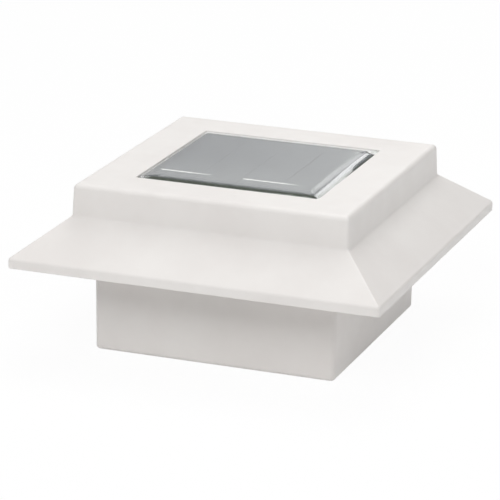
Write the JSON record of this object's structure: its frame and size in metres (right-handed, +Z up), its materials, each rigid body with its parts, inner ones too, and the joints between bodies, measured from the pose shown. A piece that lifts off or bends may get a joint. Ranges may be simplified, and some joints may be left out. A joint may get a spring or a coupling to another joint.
{
  "type": "post cap light",
  "caption": "Square solar post cap light: hipped white cap with a raised block and sunk panel, over a collar that slips on a deck post and lamps that shine down under the eaves.",
  "frame": {"origin": "centre of the collar's bottom rim, on the post's axis", "axes": "+Z up along the post, +X to the side of the cell's button, -Y to the side of the switch"},
  "size_m": [0.165, 0.165, 0.0751],
  "materials": {
    "shell_white": "fine satin moulded vinyl, white",
    "screw_steel": "stainless, satin",
    "sealant": "cured silicone bead",
    "panel_green": "solder mask over laminate",
    "solar_cell": "silicon with an anti-reflective coat",
    "tin": "bright tinned",
    "resin": "clear poured resin, glossy",
    "lens_frost": "frosted translucent",
    "lamp_board": "white solder mask",
    "lamp_chip": "yellow phosphor under silicone",
    "moulding_black": "moulded black",
    "cell_can": "bright nickel plate",
    "cell_sleeve": "shrunk plain sleeve",
    "seal_rubber": "soft black rubber",
    "wire_red": "insulated wire",
    "wire_black": "insulated wire"
  },
  "bodies": {
    "light": {"cap_shell": "shell_white", "post_collar": "shell_white", "housing_screws": "screw_steel", "panel_sealant": "sealant", "panel_board": "panel_green", "solar_cells": "solar_cell", "cell_ribbons": "tin", "panel_resin": "resin", "lens_front": "lens_frost", "lens_right": "lens_frost", "lens_back": "lens_frost", "lens_left": "lens_frost", "lamp_board_front": "lamp_board", "lamp_board_right": "lamp_board", "lamp_board_back": "lamp_board", "lamp_board_left": "lamp_board", "lamp_chip_front": "lamp_chip", "lamp_chip_right": "lamp_chip", "lamp_chip_back": "lamp_chip", "lamp_chip_left": "lamp_chip", "electronics_tray": "shell_white", "tray_screws": "screw_steel", "circuit_board": "panel_green", "board_screws": "screw_steel", "driver_chip": "moulding_black", "inductor": "moulding_black", "capacitor": "moulding_black", "switch_case": "screw_steel", "switch_pins": "tin", "battery_can": "cell_can", "battery_sleeve": "cell_sleeve", "battery_button": "cell_can", "spring_plate": "tin", "contact_spring": "tin", "contact_plate": "tin", "solar_wire_red": "wire_red", "solar_wire_black": "wire_black", "battery_wire_red": "wire_red", "battery_wire_black": "wire_black", "lamp_wire_front_red": "wire_red", "lamp_wire_front_black": "wire_black", "lamp_wire_right_red": "wire_red", "lamp_wire_right_black": "wire_black", "lamp_wire_back_red": "wire_red", "lamp_wire_back_black": "wire_black", "lamp_wire_left_red": "wire_red", "lamp_wire_left_black": "wire_black"},
    "switch": {"switch_knob": "moulding_black"},
    "lid": {"battery_lid": "shell_white", "lid_seal": "seal_rubber", "lid_screws": "screw_steel"}
  },
  "joints": [
    {"name": "switch_slide", "type": "slide", "parent": "light", "child": "switch", "axis": [1, 0, 0], "range_m": [0, 0.002]},
    {"name": "battery_lid_lift", "type": "slide", "parent": "light", "child": "lid", "axis": [0, 0, -1], "range_m": [0, 0.05]}
  ]
}
